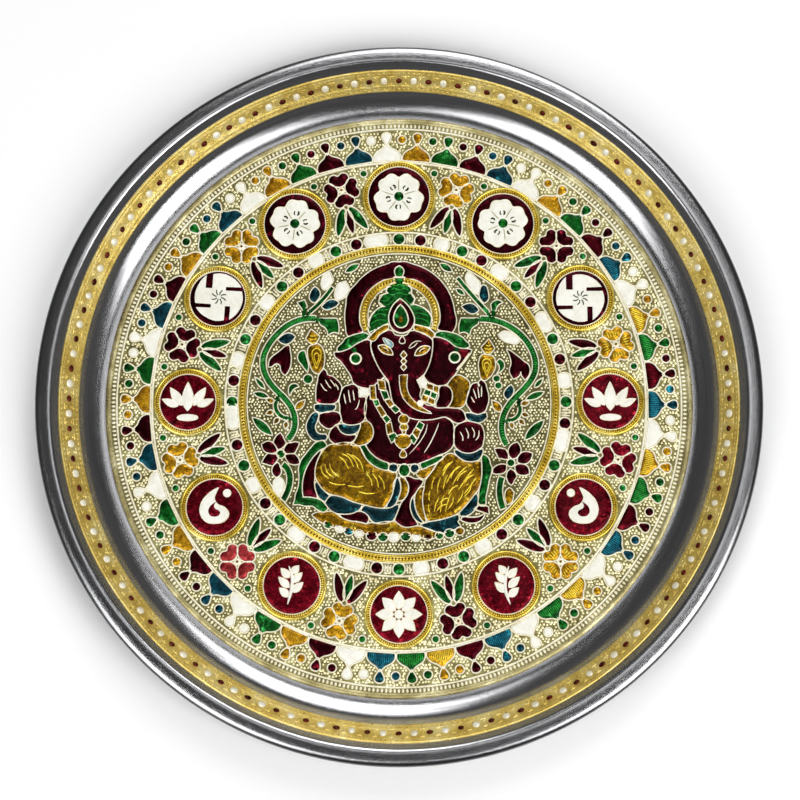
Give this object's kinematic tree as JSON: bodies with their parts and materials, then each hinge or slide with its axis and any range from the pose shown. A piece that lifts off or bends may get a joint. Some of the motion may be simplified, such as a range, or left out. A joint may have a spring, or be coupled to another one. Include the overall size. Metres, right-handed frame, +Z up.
{
  "type": "puja thali",
  "caption": "Round steel worship plate with a curled rim, a dotted foil band on its wall and an embossed gold foil disc filled with enamel: seated figure, vines and medallions.",
  "frame": {"origin": "middle of the flat underside, where the plate rests", "axes": "+Z up through the middle of the plate, +Y to the top of the figure, +X to the right of the figure as seen from above"},
  "size_m": [0.2544, 0.2544, 0.0151],
  "materials": {
    "steel": "polished with fine circular brushing",
    "gold_foil": "embossed metallic foil",
    "enamel_maroon": "glossy enamel lacquer",
    "enamel_green": "glossy enamel lacquer",
    "enamel_blue": "glossy enamel lacquer",
    "enamel_amber": "glossy enamel lacquer",
    "enamel_white": "glossy enamel lacquer"
  },
  "bodies": {
    "root": {"steel_plate": "steel", "foil_disc": "gold_foil", "wall_band": "gold_foil", "medallion_grounds": "enamel_maroon", "border_petals_blue": "enamel_blue", "border_petals_maroon": "enamel_maroon", "border_petals_green": "enamel_green", "border_petals_amber": "enamel_amber", "border_petals_white": "enamel_white", "figure_maroon": "enamel_maroon", "figure_amber": "enamel_amber", "figure_green": "enamel_green", "figure_blue": "enamel_blue", "figure_white": "enamel_white", "vine_green": "enamel_green", "vine_maroon": "enamel_maroon", "vine_amber": "enamel_amber", "vine_blue": "enamel_blue", "vine_white": "enamel_white", "band_gems_green": "enamel_green", "band_gems_white": "enamel_white", "band_gems_maroon": "enamel_maroon", "spray_flowers_amber": "enamel_amber", "spray_flowers_maroon": "enamel_maroon", "spray_leaves_green": "enamel_green", "spray_leaves_maroon": "enamel_maroon"}
  },
  "joints": []
}
